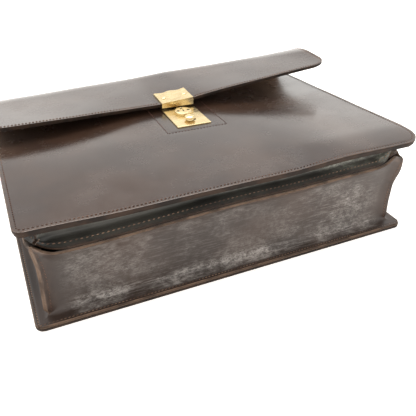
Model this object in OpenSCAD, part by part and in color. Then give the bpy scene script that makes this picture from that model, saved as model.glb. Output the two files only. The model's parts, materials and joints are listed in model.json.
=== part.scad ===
// Leather briefcase lying on its back: a two-section gusseted body, a flap with a lock, and a handle.
// X runs across the width, Y from the bottom edge towards the handle, Z from the back panel up.
// Millimetres. The origin is on the resting plane, under the middle of the whole case.

/* [Case] */
// Width of the panels
case_w = 400; // [370:1:440]
// Height of the back, from its bottom edge to the outer face of the top strip
case_h = 298; // [292:1:312]
// Thickness of the closed case, from the resting plane to the front panel's outer face
case_t = 105; // [103:1:112]
// Height of the front panel, which ends under the flap
front_h = 268; // [262:1:270]
// Leather thickness of the panels and the flap
panel_leather = 3.2; // [2.8:0.1:3.4]
// Leather thickness of the gussets
gusset_leather = 2.2; // [1.8:0.1:2.4]
// Height of the seam ridge where the rear gusset, the divider and the front gusset are sewn together
ridge_z = 80; // [78:0.5:82]

/* [Flap] */
// Distance of the flap's free edge from the bottom edge
flap_edge_y = 178; // [177:0.5:179]
// Height of the free edge at the lock
flap_edge_z = 114.3; // [113.8:0.1:114.8]
// Height of the flap's crest at the lock
flap_crest_z = 117.6; // [117.4:0.1:119]
// How far the free edge stands higher at the right end
edge_lift = 20.4; // [0:0.1:20.6]
// How far the crest rises to the right end
crest_lift = 19.2; // [0:0.1:19.4]
// Height of the crease where the top strip becomes the flap
fold_z = 66; // [64:1:68]

/* [Lock] */
// Width of the lock plate
lock_w = 38.9; // [38:0.1:42]
// Distance of the lock plate's lower edge from the bottom edge
lock_y = 127; // [126.5:0.1:127.5]
// Diameter of the round key escutcheon
escutcheon_d = 19.5; // [17:0.5:20]
// Diameter of the sliding knob
knob_d = 12; // [10:0.5:13]
// Travel of the knob and its bolt
bolt_travel = 5; // [4.5:0.1:5]

/* [Handle] */
// Distance between the centres of the handle's two mounts
handle_span = 124; // [110:1:140]
// Height of the handle's pivot pins above the resting plane
pivot_z = 52; // [50:1:53]
// Height of the middle of the grip while the handle hangs down
grip_z = 12; // [11:0.5:13]

/* [Hidden] */
$fn = 48;

hull_brown = "#3a2a22";
lining_brown = "#6b4a34";
clearance = 0.3;        // left between pieces that move apart
brass = "#c9a24a";
steel = "#9a9a98";
half_w = case_w / 2;

// Panels and linings
lining = 1;
panel_corner_r = 8;
front_corner_r = 22;
rim_inset = 1;          // the gusset flange stops this far inside the panel's edge
strip_in_y = case_h - panel_leather;
back_h = strip_in_y - 0.8;
lining_edge = 19;
gusset_top_y = case_h - 7;
divider_h = case_h - 13;
divider_leather = 2;

// Gusset sections: d is the distance in from the case's edge
flange_w = 12;
flange_z = panel_leather + gusset_leather;
bend_r = 3.5;
ridge_edge = 6;         // the sewn edges of the ridge stop this far inside the case's edge
wall_foot = [flange_w + bend_r, flange_z + bend_r];
ridge_flange_z = ridge_z - gusset_leather;
divider_z = ridge_z + clearance;
valley_z = divider_z + divider_leather + clearance + gusset_leather;
front_wall = 20;
front_under_z = case_t - panel_leather;
front_flange_z = front_under_z - gusset_leather;
front_bend_r = 2;
mitre_depth = 40;

// Flap
flap_leather = 3;
flap_crest_y = flap_edge_y + 83;
crest_drop = 2;         // the crest is this much lower at the left end
left_shift = 16;        // and runs this much nearer the free edge there
right_shift = 37;       // it runs this much nearer the free edge at the right end
rise_power = 1.2;       // how the flap rises from its free edge to the crest
edge_power = 0.85;      // how the free edge's lift grows towards the right end
lift_power = 1.5;       // how the crest's lift grows towards the right end
squareness = 2.1;       // exponent of the superellipse of the bend over the top
flat_half = 20;         // half width of the stretch that lies flat under the hasp
flap_tilt = 0.07;       // that stretch rises this much for every millimetre to the right
edge_corner_r = 14;

// Lock
lock_top_y = lock_y + 75;
plate_t = 1.4;
plate_top = case_t + plate_t;
box_half = 13.5;
box_wall = 1.2;
box_start = lock_y + 1.6;
box_end = lock_top_y - 3;
box_floor = case_t - 10;
patch_t = 2;
patch_half = 37;
patch_start = lock_y - 12;
patch_end = lock_y + 89;
backing_t = 1.2;
backing_top = front_under_z - patch_t;
knob_y = lock_y + 13.5;
knob_stem_r = 2;
key_y = lock_y + 33;
key_r = 3.5;
running_fit = 0.05;
bolt_z = case_t - 4.2;
bolt_t = 2.4;
bolt_arm_x = -12;
bolt_arm_w = 3;
tongue_y = flap_edge_y + 1.5;
tongue_w = 6;
tongue_half_t = 1;
tongue_foot_z = case_t - 6.2;
bolt_pin_r = 1.2;
bolt_pin_y = tongue_y + tongue_w / 2;
bolt_pin_z = bolt_z + bolt_t / 2;
slot_y = flap_edge_y + 0.5;
slot_end = slot_y + 18;

// Hasp, laid on the sloping free edge of the flap
hasp_w = 38;
hasp_len = 27;
hasp_t = 1.4;
hasp_lift = 0.2;        // the flap bulges this much over the straight line under the hasp
hasp_foot_z = plate_top + 2.2;
hasp_slope = atan((flap_z(flap_edge_y + hasp_len, 0) - flap_edge_z) / hasp_len);
scallop = 1.1;          // half the depth of the scallops along the hasp's upper edge
hasp_rivet_x = 12.5;
hasp_rivet_s = 10.5;
rivet_r = 1.5;
rivet_head_r = 2.6;
rivet_head_h = 1;
backing_depth = flap_leather + lining + 0.5;

// Handle
patch_y = case_h + 2;
base_t = 1.5;
base_y = patch_y + base_t;
pivot_y = case_h + 10.5;
grip_ry = 7.5;
grip_rz = 9.5;
end_r = 5.4;
core_r = 3.2;
pin_r = 2;
eye_r = 5;
eye_len = 13.4;
ear_t = 2;
ear_gap = 14;
ear_reach = 4.5;
neck_end_z = pivot_z - 14;
cover_start_z = pivot_z - 8;
base_half_x = 15;
base_low_z = pivot_z - 7.5;
base_high_z = pivot_z + 10;
handle_rivet_dx = 12;
handle_rivet_dz = 5.5;
overall_y = pivot_y + grip_ry;

// ---- Helpers ----

function lerp(a, b, t) = a + (b - a) * t;

function arc(centre, r, from, to, n) =
    [for (i = [0:n]) centre + r * [cos(lerp(from, to, i / n)), sin(lerp(from, to, i / n))]];

function bezier(a, b, c, d, n) =
    [for (i = [0:n]) let (t = i / n, s = 1 - t) s^3 * a + 3 * s^2 * t * b + 3 * s * t^2 * c + t^3 * d];

function reversed(list) = [for (i = [len(list) - 1:-1:0]) list[i]];

// A path moved sideways, to the right of its direction
function shifted(path, by) =
    [for (i = [0:len(path) - 1])
        let (ahead = path[min(i + 1, len(path) - 1)] - path[max(i - 1, 0)], dir = ahead / norm(ahead))
        path[i] + by * [dir.y, -dir.x]];

function sheet_outline(path, t) = concat(path, reversed(shifted(path, t)));

// A closed solid through rings that all have the same even number of points, paired across each cap.
// The second half of a ring is split along the other diagonal, so that two sheets share a surface exactly.
module skin(rings) {
    n = len(rings[0]);
    last = len(rings) - 1;
    sides = [for (k = [0:last - 1]) for (i = [0:n - 1])
        let (j = (i + 1) % n, a = k * n, b = a + n)
        each i < n / 2
            ? [[a + i, b + i, a + j], [a + j, b + i, b + j]]
            : [[a + i, b + i, b + j], [a + i, b + j, a + j]]];
    caps = [for (i = [0:n / 2 - 2])
        let (across = n - 1 - i, b = last * n)
        each [[i, i + 1, across - 1, across], [b + across, b + across - 1, b + i + 1, b + i]]];
    polyhedron(points = [for (ring = rings) each ring], faces = concat(sides, caps));
}

module placed() {
    translate([0, -overall_y / 2, 0])
        children();
}

module box(low, high) {
    translate(low)
        cube(high - low);
}

module rod_x(x0, x1, y, z, r) {
    translate([x0, y, z])
        rotate([0, 90, 0])
            cylinder(h = x1 - x0, r = r);
}

module rod_y(x, y0, y1, z, r) {
    translate([x, y0, z])
        rotate([-90, 0, 0])
            cylinder(h = y1 - y0, r = r);
}

module rod_z(x, y, z0, z1, r) {
    translate([x, y, z0])
        cylinder(h = z1 - z0, r = r);
}

// ---- Panels ----

// A plate whose two bottom corners are rounded
module panel(half, low, high, z0, z1, r) {
    translate([0, 0, z0])
        linear_extrude(z1 - z0)
            union() {
                for (side = [-1, 1])
                    translate([side * (half - r), low + r])
                        circle(r);
                translate([-half, low + r])
                    square([2 * half, high - low - r]);
                translate([-half + r, low])
                    square([2 * (half - r), r]);
            }
}

module back_panel() {
    color(hull_brown)
        placed()
            panel(half_w, 0, back_h, 0, panel_leather, panel_corner_r);
}

module back_lining() {
    color(lining_brown)
        placed()
            box([-half_w + lining_edge, lining_edge, panel_leather],
                [half_w - lining_edge, gusset_top_y, panel_leather + lining]);
}

module divider() {
    color(lining_brown)
        placed()
            panel(half_w - ridge_edge, ridge_edge, divider_h, divider_z, divider_z + divider_leather,
                panel_corner_r - ridge_edge);
}

// The opening that the lock's box passes through
module lock_opening() {
    box([-box_half, box_start, backing_top - backing_t - 1], [box_half, box_end, case_t + 1]);
}

module lock_rivet_holes() {
    for (x = [-1, 1])
        for (y = [lock_y + 4, lock_top_y - 4])
            rod_z(x * (lock_w / 2 - 3), y, box_floor, case_t, bolt_pin_r);
}

module front_panel() {
    color(hull_brown)
        placed()
            difference() {
                panel(half_w, 0, front_h, front_under_z, case_t, front_corner_r);
                lock_opening();
                lock_rivet_holes();
            }
}

module front_lining() {
    color(lining_brown)
        placed()
            difference() {
                box([-half_w + lining_edge + 3, lining_edge + 3, front_under_z - lining],
                    [half_w - lining_edge - 3, front_h, front_under_z]);
                box([-patch_half, patch_start, front_under_z - lining - 1],
                    [patch_half, patch_end, front_under_z + 1]);
            }
}

module lock_patch() {
    color(lining_brown)
        placed()
            difference() {
                box([-patch_half, patch_start, backing_top], [patch_half, patch_end, front_under_z]);
                lock_opening();
                lock_rivet_holes();
            }
}

// ---- Gussets ----

// Outer face of the rear gusset: flange on the back panel, hollow wall, and the edge sewn into the ridge
rear_path = concat(
    [[rim_inset, flange_z]],
    arc([flange_w, flange_z + bend_r], bend_r, -90, 0, 4),
    bezier(wall_foot + [0, 0.5], [19, 40], [16, ridge_flange_z], [ridge_edge, ridge_flange_z], 12));

// Outer face of the front gusset: edge sewn into the ridge, wall, and the flange under the front panel
front_path = concat(
    [[ridge_edge, valley_z]],
    arc([front_wall - front_bend_r, valley_z + front_bend_r], front_bend_r, -90, 0, 4),
    arc([front_wall - front_bend_r, front_flange_z - front_bend_r], front_bend_r, 0, 90, 4),
    [[rim_inset, front_flange_z]]);

// The gusset along the bottom, its ends cut at 45 degrees to meet the sides
module gusset_bottom(path, corner_r) {
    intersection() {
        translate([-half_w, 0, 0])
            rotate([90, 0, 90])
                linear_extrude(case_w)
                    polygon(sheet_outline(path, gusset_leather));
        linear_extrude(case_t)
            polygon([[-half_w, 0], [half_w, 0], [half_w - mitre_depth, mitre_depth],
                [-half_w + mitre_depth, mitre_depth]]);
        panel(half_w - rim_inset, rim_inset, case_h, 0, case_t, corner_r - rim_inset);
    }
}

// The gusset up the right side, its lower end cut at 45 degrees
module gusset_side(path, top_y, corner_r) {
    intersection() {
        translate([half_w, top_y, 0])
            rotate([90, 0, 0])
                mirror([1, 0, 0])
                    linear_extrude(top_y)
                        polygon(sheet_outline(path, gusset_leather));
        linear_extrude(case_t)
            polygon([[half_w, 0], [half_w, top_y], [half_w - mitre_depth, top_y],
                [half_w - mitre_depth, mitre_depth]]);
        panel(half_w - rim_inset, rim_inset, case_h, 0, case_t, corner_r - rim_inset);
    }
}

module rear_gusset_bottom() {
    color(hull_brown)
        placed()
            gusset_bottom(rear_path, panel_corner_r);
}

module rear_gusset_left() {
    color(hull_brown)
        placed()
            mirror([1, 0, 0])
                gusset_side(rear_path, gusset_top_y, panel_corner_r);
}

module rear_gusset_right() {
    color(hull_brown)
        placed()
            gusset_side(rear_path, gusset_top_y, panel_corner_r);
}

module front_gusset_bottom() {
    color(hull_brown)
        placed()
            gusset_bottom(front_path, front_corner_r);
}

module front_gusset_left() {
    color(hull_brown)
        placed()
            mirror([1, 0, 0])
                gusset_side(front_path, front_h, front_corner_r);
}

module front_gusset_right() {
    color(hull_brown)
        placed()
            gusset_side(front_path, front_h, front_corner_r);
}

// ---- Lock ----

module knob_slot(z0, z1) {
    slot_r = knob_stem_r + 0.1;
    box([0, knob_y - slot_r, z0], [bolt_travel, knob_y + slot_r, z1]);
    for (x = [0, bolt_travel])
        rod_z(x, knob_y, z0, z1, slot_r);
}

// Plate with a bevelled rim, seen from the side as a trapezoid over a straight edge
module lock_plate() {
    bevel = 0.4;
    color(brass)
        placed()
            difference() {
                union() {
                    box([-lock_w / 2, lock_y, case_t], [lock_w / 2, lock_top_y, plate_top - bevel]);
                    hull() {
                        box([-lock_w / 2, lock_y, plate_top - bevel - 0.1],
                            [lock_w / 2, lock_top_y, plate_top - bevel]);
                        box([-lock_w / 2 + bevel, lock_y + bevel, plate_top - 0.1],
                            [lock_w / 2 - bevel, lock_top_y - bevel, plate_top]);
                    }
                }
                knob_slot(case_t - 1, plate_top + 1);
                rod_z(0, key_y, case_t - 1, plate_top + 1, key_r + running_fit);
                box([-2 * tongue_half_t, slot_y, case_t - 1], [2 * tongue_half_t, slot_end, plate_top + 1]);
            }
}

module key_escutcheon() {
    height = 3.6;
    dimple_r = 1.7;
    dimple_depth = 1.8;
    color(brass)
        placed()
            translate([0, key_y, plate_top])
                difference() {
                    rotate_extrude()
                        polygon(concat(
                            [[key_r + running_fit, 0], [escutcheon_d / 2, 0]],
                            arc([escutcheon_d / 2 - 1.4, height - 1.4], 1.4, 0, 90, 6),
                            [[key_r + running_fit, height]]));
                    for (a = [0:90:180])
                        rotate([0, 0, a])
                            translate([6.2, 0, height - dimple_depth])
                                cylinder(h = 2 * dimple_depth, r = dimple_r);
                }
}

module lock_case() {
    color(steel)
        placed()
            difference() {
                box([-box_half, box_start, box_floor], [box_half, box_end, case_t]);
                box([-box_half + box_wall, box_start + box_wall, box_floor + box_wall],
                    [box_half - box_wall, box_end - box_wall, case_t + 1]);
            }
}

module lock_backing_plate() {
    color(steel)
        placed()
            difference() {
                box([-lock_w / 2, lock_y, backing_top - backing_t], [lock_w / 2, lock_top_y, backing_top]);
                lock_opening();
                lock_rivet_holes();
            }
}

module lock_rivets() {
    head_h = 0.8;
    head_r = 2;
    clench_z = backing_top - backing_t;
    color(brass)
        placed()
            for (x = [-1, 1])
                for (y = [lock_y + 4, lock_top_y - 4]) {
                    rod_z(x * (lock_w / 2 - 3), y, clench_z, case_t, bolt_pin_r);
                    rod_z(x * (lock_w / 2 - 3), y, clench_z - head_h, clench_z, head_r);
                }
}

module lock_knob() {
    foot_r = 4.4;
    neck_h = 1.6;
    cap_h = 4.4;
    foot_z = plate_top + clearance;
    color(brass)
        placed() {
            rod_z(0, knob_y, bolt_z + bolt_t, foot_z, knob_stem_r);
            translate([0, knob_y, foot_z])
                rotate_extrude()
                    polygon(concat(
                        [[0, 0], [foot_r, 0], [foot_r - 0.6, neck_h]],
                        [for (a = [-30:15:90]) [knob_d / 2 * cos(a), neck_h + cap_h / 2 * (0.55 + sin(a))]]));
        }
}

module lock_bolt() {
    foot_w = 6.2;
    foot_y = knob_y - 2.9;
    color(steel)
        placed() {
            box([bolt_arm_x, foot_y, bolt_z], [4, foot_y + foot_w, bolt_z + bolt_t]);
            box([bolt_arm_x, foot_y, bolt_z],
                [bolt_arm_x + bolt_arm_w, bolt_pin_y + 2.5, bolt_z + bolt_t]);
            rod_x(bolt_arm_x + 1, -tongue_half_t - 0.5, bolt_pin_y, bolt_pin_z, bolt_pin_r);
        }
}

module key_plug() {
    flange_r = 4.6;
    flange_h = 1;
    top_z = plate_top + 3.4;
    keyhole_r = 1.1;
    keyhole_w = 1.1;
    color(brass)
        placed()
            translate([0, key_y, 0])
                difference() {
                    union() {
                        rod_z(0, 0, bolt_z - 1.3, top_z, key_r);
                        rod_z(0, 0, case_t - flange_h - 0.2, case_t - 0.2, flange_r);
                    }
                    rod_z(0, 0.8, top_z - 4, top_z + 1, keyhole_r);
                    box([-keyhole_w / 2, -2.4, top_z - 4], [keyhole_w / 2, 0.8, top_z + 1]);
                }
}

module key_cam() {
    cam_z = bolt_z - 3.3;
    cam_t = 2;
    cam_r = 8;
    cam_half = 2.5;
    color(steel)
        placed()
            translate([0, key_y, 0]) {
                rod_z(0, 0, cam_z, cam_z + cam_t, key_r);
                box([-cam_half, 0, cam_z], [cam_half, cam_r, cam_z + cam_t]);
            }
}

// ---- Top strip of the flap ----

module strip_holes(y0, y1) {
    for (side = [-1, 1])
        for (dx = [-1, 1])
            for (dz = [-1, 1])
                rod_y(side * handle_span / 2 + dx * handle_rivet_dx, y0, y1,
                    pivot_z + 1.2 + dz * handle_rivet_dz, rivet_r);
}

module flap_top() {
    color(hull_brown)
        placed()
            difference() {
                box([-half_w, strip_in_y, 0], [half_w, case_h, fold_z]);
                strip_holes(strip_in_y - 1, case_h + 1);
            }
}

module flap_top_lining() {
    color(lining_brown)
        placed()
            difference() {
                box([-half_w + 2, strip_in_y - lining, 5], [half_w - 2, strip_in_y, fold_z]);
                strip_holes(strip_in_y - 2, strip_in_y + 1);
            }
}

module handle_patch() {
    color(hull_brown)
        placed()
            difference() {
                box([-handle_span / 2 - 24, case_h, base_low_z - 8],
                    [handle_span / 2 + 24, patch_y, fold_z - 1]);
                strip_holes(case_h - 1, patch_y + 1);
            }
}

// Base plate with two ears that hold the pivot pin
module handle_plate(side) {
    centre = side * handle_span / 2;
    color(brass)
        placed()
            difference() {
                union() {
                    box([centre - base_half_x, patch_y, base_low_z],
                        [centre + base_half_x, base_y, base_high_z]);
                    for (ear = [-1, 1])
                        translate([centre + ear * (ear_gap + ear_t) / 2 - ear_t / 2, 0, 0]) {
                            rod_x(0, ear_t, pivot_y, pivot_z, ear_reach);
                            box([0, patch_y, pivot_z - ear_reach], [ear_t, pivot_y, pivot_z + ear_reach]);
                        }
                }
                rod_x(centre - base_half_x, centre + base_half_x, pivot_y, pivot_z, pin_r);
                strip_holes(patch_y - 1, base_y + 1);
            }
}

module handle_plate_left() {
    handle_plate(-1);
}

module handle_plate_right() {
    handle_plate(1);
}

// Pin with a flat head at each end
module handle_pin(side) {
    head_h = 1.2;
    head_r = 3;
    reach = ear_gap / 2 + ear_t;
    color(steel)
        placed()
            translate([side * handle_span / 2, 0, 0]) {
                rod_x(-reach, reach, pivot_y, pivot_z, pin_r);
                for (end = [-reach - head_h, reach])
                    rod_x(end, end + head_h, pivot_y, pivot_z, head_r);
            }
}

module handle_pin_left() {
    handle_pin(-1);
}

module handle_pin_right() {
    handle_pin(1);
}

module handle_rivets() {
    inner_y = strip_in_y - lining - backing_t;
    color(brass)
        placed()
            for (side = [-1, 1])
                for (dx = [-1, 1])
                    for (dz = [-1, 1])
                        translate([side * handle_span / 2 + dx * handle_rivet_dx, 0,
                            pivot_z + 1.2 + dz * handle_rivet_dz]) {
                            rod_y(0, inner_y, base_y, 0, rivet_r);
                            rod_y(0, inner_y - 0.8, inner_y, 0, rivet_head_r);
                            translate([0, base_y, 0])
                                rotate([-90, 0, 0])
                                    rotate_extrude()
                                        polygon(concat([[0, 0], [rivet_head_r, 0]],
                                            [for (a = [15:15:90]) [rivet_head_r * cos(a), rivet_head_h * sin(a)]]));
                        }
}

module handle_backing(side) {
    centre = side * handle_span / 2;
    color(steel)
        placed()
            difference() {
                box([centre - base_half_x, strip_in_y - lining - backing_t, base_low_z],
                    [centre + base_half_x, strip_in_y - lining, base_high_z]);
                strip_holes(strip_in_y - lining - backing_t - 1, strip_in_y);
            }
}

module handle_backing_left() {
    handle_backing(-1);
}

module handle_backing_right() {
    handle_backing(1);
}

// ---- Flap ----

// How far x is along the half width, past the flat stretch under the hasp
function along(x) = max(0, abs(x) - flat_half) / (half_w - flat_half);

function tilt_rise(x) = flap_tilt * max(-flat_half, min(flat_half, x));

function edge_z(x) = flap_edge_z + tilt_rise(x) + (x > 0 ? edge_lift * along(x)^edge_power : 0);

function crest_z(x) =
    flap_crest_z + tilt_rise(x) + (x > 0 ? crest_lift * along(x)^lift_power : -crest_drop * along(x));

function crest_y(x) =
    flap_crest_y - (x > 0 ? right_shift * along(x)^lift_power : left_shift * along(x));

// Height of the flap's outer face between its free edge and its crest
function flap_z(y, x) =
    crest_z(x) - (crest_z(x) - edge_z(x)) * ((crest_y(x) - y) / (crest_y(x) - flap_edge_y))^rise_power;

// The free edge, rounded at both corners
straight_half = half_w - edge_corner_r;

function edge_y(x) =
    let (over = max(0, abs(x) - straight_half))
    flap_edge_y + edge_corner_r - sqrt(max(0, edge_corner_r^2 - over^2));

function flap_path(x) = concat(
    [for (a = [0:9:90])
        let (out = cos(a)^(2 / squareness), up = sin(a)^(2 / squareness))
        [lerp(crest_y(x), case_h, out), lerp(fold_z + clearance, crest_z(x), up)]],
    [for (i = [1:5])
        let (y = lerp(crest_y(x), edge_y(x), i / 5))
        [y, flap_z(y, x)]]);

flap_stations = concat(
    [for (a = [90:-30:30]) -straight_half - edge_corner_r * sin(a)],
    [for (i = [0:5]) lerp(-straight_half, -flat_half, i / 5)],
    [for (i = [0:5]) lerp(flat_half, straight_half, i / 5)],
    [for (a = [30:30:90]) straight_half + edge_corner_r * sin(a)]);

// A curved layer of the flap, between two depths under its outer face
module flap_layer(outer_depth, inner_depth) {
    skin([for (x = flap_stations)
        let (path = flap_path(x),
            outline = concat(shifted(path, -outer_depth), reversed(shifted(path, -inner_depth))))
        [for (p = outline) [x, p.x, p.y]]]);
}

// Children are placed with Y along the slope of the free edge and Z square to the flap
module on_flap_edge() {
    translate([0, flap_edge_y, flap_edge_z])
        rotate([0, -atan(flap_tilt), 0])
            rotate([hasp_slope, 0, 0])
                children();
}

module hasp_rivet_holes() {
    on_flap_edge()
        for (side = [-1, 1])
            rod_z(side * hasp_rivet_x, hasp_rivet_s, -10, 10, rivet_r);
}

module flap_front() {
    color(hull_brown)
        placed()
            difference() {
                flap_layer(0, flap_leather);
                hasp_rivet_holes();
            }
}

module flap_lining() {
    color(lining_brown)
        placed()
            difference() {
                flap_layer(flap_leather, flap_leather + lining);
                hasp_rivet_holes();
            }
}

// ---- Hasp ----

// The upper edge is scalloped: it peaks at the middle and at both corners
hasp_outline = concat(
    [[hasp_w / 2, -2.2]],
    [for (i = [0:24])
        let (x = lerp(hasp_w / 2, -hasp_w / 2, i / 24))
        [x, hasp_len - scallop + scallop * cos(720 * x / hasp_w)]],
    [[-hasp_w / 2, -2.2]]);

module hasp_plate() {
    lip_y = flap_edge_y - 0.7;
    lip_top_z = flap_edge_z + hasp_lift + 0.4;
    lip_rise = flap_tilt * hasp_w / 2;
    color(brass)
        placed()
            difference() {
                union() {
                    on_flap_edge()
                        translate([0, 0, hasp_lift])
                            linear_extrude(hasp_t)
                                polygon(hasp_outline);
                    translate([0, lip_y, 0])
                        rotate([90, 0, 0])
                            linear_extrude(hasp_t)
                                polygon([[-hasp_w / 2, hasp_foot_z], [hasp_w / 2, hasp_foot_z],
                                    [hasp_w / 2, lip_top_z + lip_rise], [-hasp_w / 2, lip_top_z - lip_rise]]);
                }
                hasp_rivet_holes();
            }
}

module hasp_backing_plate() {
    color(steel)
        placed()
            difference() {
                on_flap_edge()
                    box([-hasp_w / 2 + 2, 1.5, -backing_depth - backing_t],
                        [hasp_w / 2 - 2, hasp_len - 2, -backing_depth]);
                hasp_rivet_holes();
            }
}

module hasp_tongue() {
    color(brass)
        placed()
            difference() {
                box([-tongue_half_t, tongue_y, tongue_foot_z],
                    [tongue_half_t, tongue_y + tongue_w, flap_edge_z]);
                on_flap_edge()
                    box([-10, -10, -backing_depth - backing_t], [10, 20, 20]);
                rod_x(-10, 10, bolt_pin_y, bolt_pin_z, bolt_pin_r + 0.6);
            }
}

module hasp_rivets() {
    foot = -backing_depth - backing_t;
    head = hasp_lift + hasp_t;
    color(brass)
        placed()
            on_flap_edge()
                for (side = [-1, 1]) {
                    rod_z(side * hasp_rivet_x, hasp_rivet_s, foot, head, rivet_r);
                    rod_z(side * hasp_rivet_x, hasp_rivet_s, foot - 0.8, foot, rivet_head_r);
                    translate([side * hasp_rivet_x, hasp_rivet_s, head])
                        rotate_extrude()
                            polygon(concat([[0, 0], [rivet_head_r, 0]],
                                [for (a = [15:15:90]) [rivet_head_r * cos(a), rivet_head_h * sin(a)]]));
                }
}

// ---- Handle ----

// Centre line of the arched grip in X and Z, from the right neck to the left one
half_arch = bezier([handle_span / 2, neck_end_z], [handle_span / 2, grip_z + 3],
    [handle_span / 2 - 14, grip_z], [handle_span / 2 - 40, grip_z], 9);
arch = concat(half_arch, reversed([for (p = half_arch) [-p.x, p.y]]));
cover_arch = concat([[handle_span / 2, cover_start_z]], arch, [[-handle_span / 2, cover_start_z]]);

// A round bar along the arch: thickness is 0 at the necks and 1 along the grip
module bar(line, end_radii, grip_radii, sides) {
    last = len(line) - 1;
    skin([for (i = [0:last])
        let (ahead = line[min(i + 1, last)] - line[max(i - 1, 0)], dir = ahead / norm(ahead),
            full = min(1, (cover_start_z - line[i].y) / (cover_start_z - grip_z)),
            radii = lerp(end_radii, grip_radii, full))
        [for (k = [0:sides - 1])
            let (a = 360 * k / sides)
            [line[i].x - radii.y * sin(a) * dir.y, pivot_y + radii.x * cos(a),
                line[i].y + radii.y * sin(a) * dir.x]]]);
}

module core_bar() {
    bar(arch, [core_r, core_r], [core_r, core_r], 16);
}

// Room for the eyes' necks in the two ends of the grip
module neck_holes() {
    for (side = [-1, 1])
        rod_z(side * handle_span / 2, pivot_y, neck_end_z, cover_start_z + 1, core_r + running_fit);
}

module handle_core() {
    color(steel)
        placed()
            difference() {
                core_bar();
                neck_holes();
            }
}

module handle_cover() {
    color(hull_brown)
        placed()
            difference() {
                bar(cover_arch, [end_r, end_r], [grip_ry, grip_rz], 16);
                core_bar();
                neck_holes();
            }
}

// Barrel that turns on the pivot pin, with a neck that goes into the grip
module handle_eye(side) {
    centre = side * handle_span / 2;
    color(brass)
        placed()
            difference() {
                union() {
                    rod_x(centre - eye_len / 2, centre + eye_len / 2, pivot_y, pivot_z, eye_r);
                    rod_z(centre, pivot_y, neck_end_z, pivot_z, core_r);
                }
                rod_x(centre - eye_len, centre + eye_len, pivot_y, pivot_z, pin_r + running_fit);
            }
}

module handle_eye_left() {
    handle_eye(-1);
}

module handle_eye_right() {
    handle_eye(1);
}

back_panel();
back_lining();
rear_gusset_bottom();
rear_gusset_left();
rear_gusset_right();
divider();
front_panel();
front_lining();
lock_patch();
front_gusset_bottom();
front_gusset_left();
front_gusset_right();
lock_plate();
key_escutcheon();
lock_case();
lock_backing_plate();
lock_rivets();
lock_knob();
lock_bolt();
key_plug();
key_cam();
flap_top();
flap_top_lining();
handle_patch();
handle_plate_left();
handle_plate_right();
handle_pin_left();
handle_pin_right();
handle_rivets();
handle_backing_left();
handle_backing_right();
flap_front();
flap_lining();
hasp_plate();
hasp_tongue();
hasp_rivets();
hasp_backing_plate();
handle_core();
handle_cover();
handle_eye_left();
handle_eye_right();
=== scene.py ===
"""A leather briefcase lying on its back: leather work, stitching, metalwork, finishes, light and camera.

Shapes are worked out in millimetres as (x, v, z): x across the width, v up from the case's bottom
edge towards the handle, and z up from the plane it lies on. place() turns them into the shared frame.
"""
import json
import math

import bpy
import numpy as np
from mathutils import Matrix, Vector, noise


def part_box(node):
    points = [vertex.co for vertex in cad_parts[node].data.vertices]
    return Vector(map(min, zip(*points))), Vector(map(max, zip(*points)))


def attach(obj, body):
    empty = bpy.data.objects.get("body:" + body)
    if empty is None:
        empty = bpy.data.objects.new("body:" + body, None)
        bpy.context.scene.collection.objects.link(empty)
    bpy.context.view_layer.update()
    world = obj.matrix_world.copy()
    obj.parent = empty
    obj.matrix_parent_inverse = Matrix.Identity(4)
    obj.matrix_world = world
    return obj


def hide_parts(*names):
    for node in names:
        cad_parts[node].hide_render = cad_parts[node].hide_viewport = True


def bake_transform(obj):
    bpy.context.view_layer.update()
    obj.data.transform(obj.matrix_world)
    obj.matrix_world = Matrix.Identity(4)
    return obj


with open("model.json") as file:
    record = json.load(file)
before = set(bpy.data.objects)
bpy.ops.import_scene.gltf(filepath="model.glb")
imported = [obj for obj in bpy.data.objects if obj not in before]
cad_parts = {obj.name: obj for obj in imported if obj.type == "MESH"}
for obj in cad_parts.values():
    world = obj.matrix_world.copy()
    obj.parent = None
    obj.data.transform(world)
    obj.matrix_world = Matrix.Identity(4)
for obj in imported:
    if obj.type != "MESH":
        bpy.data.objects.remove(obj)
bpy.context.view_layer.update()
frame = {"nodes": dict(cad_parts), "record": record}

MM = 0.001

# ---------------- sizes, read from the CAD nodes

base_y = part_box("back_panel")[0].y / MM     # the bottom edge, where v is 0


def span_of(node):
    """The lowest and highest corners of a CAD node, as (x, v, z)."""
    low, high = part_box(node)
    return (low.x / MM, low.y / MM - base_y, low.z / MM), (high.x / MM, high.y / MM - base_y, high.z / MM)


_, back_high = span_of("back_panel")
_, top_high = span_of("flap_top")
_, front_high = span_of("front_panel")
_, rear_high = span_of("rear_gusset_right")
divider_low, divider_high = span_of("divider")
valley_low, _ = span_of("front_gusset_right")
lock_low, _ = span_of("lock_plate")
pin_low, pin_high = span_of("handle_pin_right")
rose_low, rose_high = span_of("key_escutcheon")
_, plug_high = span_of("key_plug")

half_w, _, panel_t = back_high
_, case_h, fold_z = top_high                # v of the top strip's outer face, and where it becomes the flap
_, front_h, case_t = front_high             # the front panel's upper edge and its outer face
_, rear_top_v, ridge_z = rear_high
_, ridge_edge, divider_z = divider_low      # the sewn edges of the ridge lie ridge_edge in from the outline
divider_t = divider_high[2] - divider_z
lock_v = lock_low[1]
gusset_t = 2.2
lining_t = 1.0
flange_z = panel_t + gusset_t               # upper face of the flange sewn to the back panel
valley_z = valley_low[2] + gusset_t         # upper face of the flange sewn to the divider
front_flange_z = case_t - panel_t - gusset_t
corner_r = 8
front_corner_r = {-1: 8, 1: 22}             # the front panel's bottom corners, left and right


def place(point):
    x, v, z = point
    return Vector((x * MM, (base_y + v) * MM, z * MM))


def smooth(value, low, high):
    """0 below low, 1 above high, and an S curve between."""
    t = np.clip((np.asarray(value, float) - low) / (high - low), 0, 1)
    return t * t * (3 - 2 * t)


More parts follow.
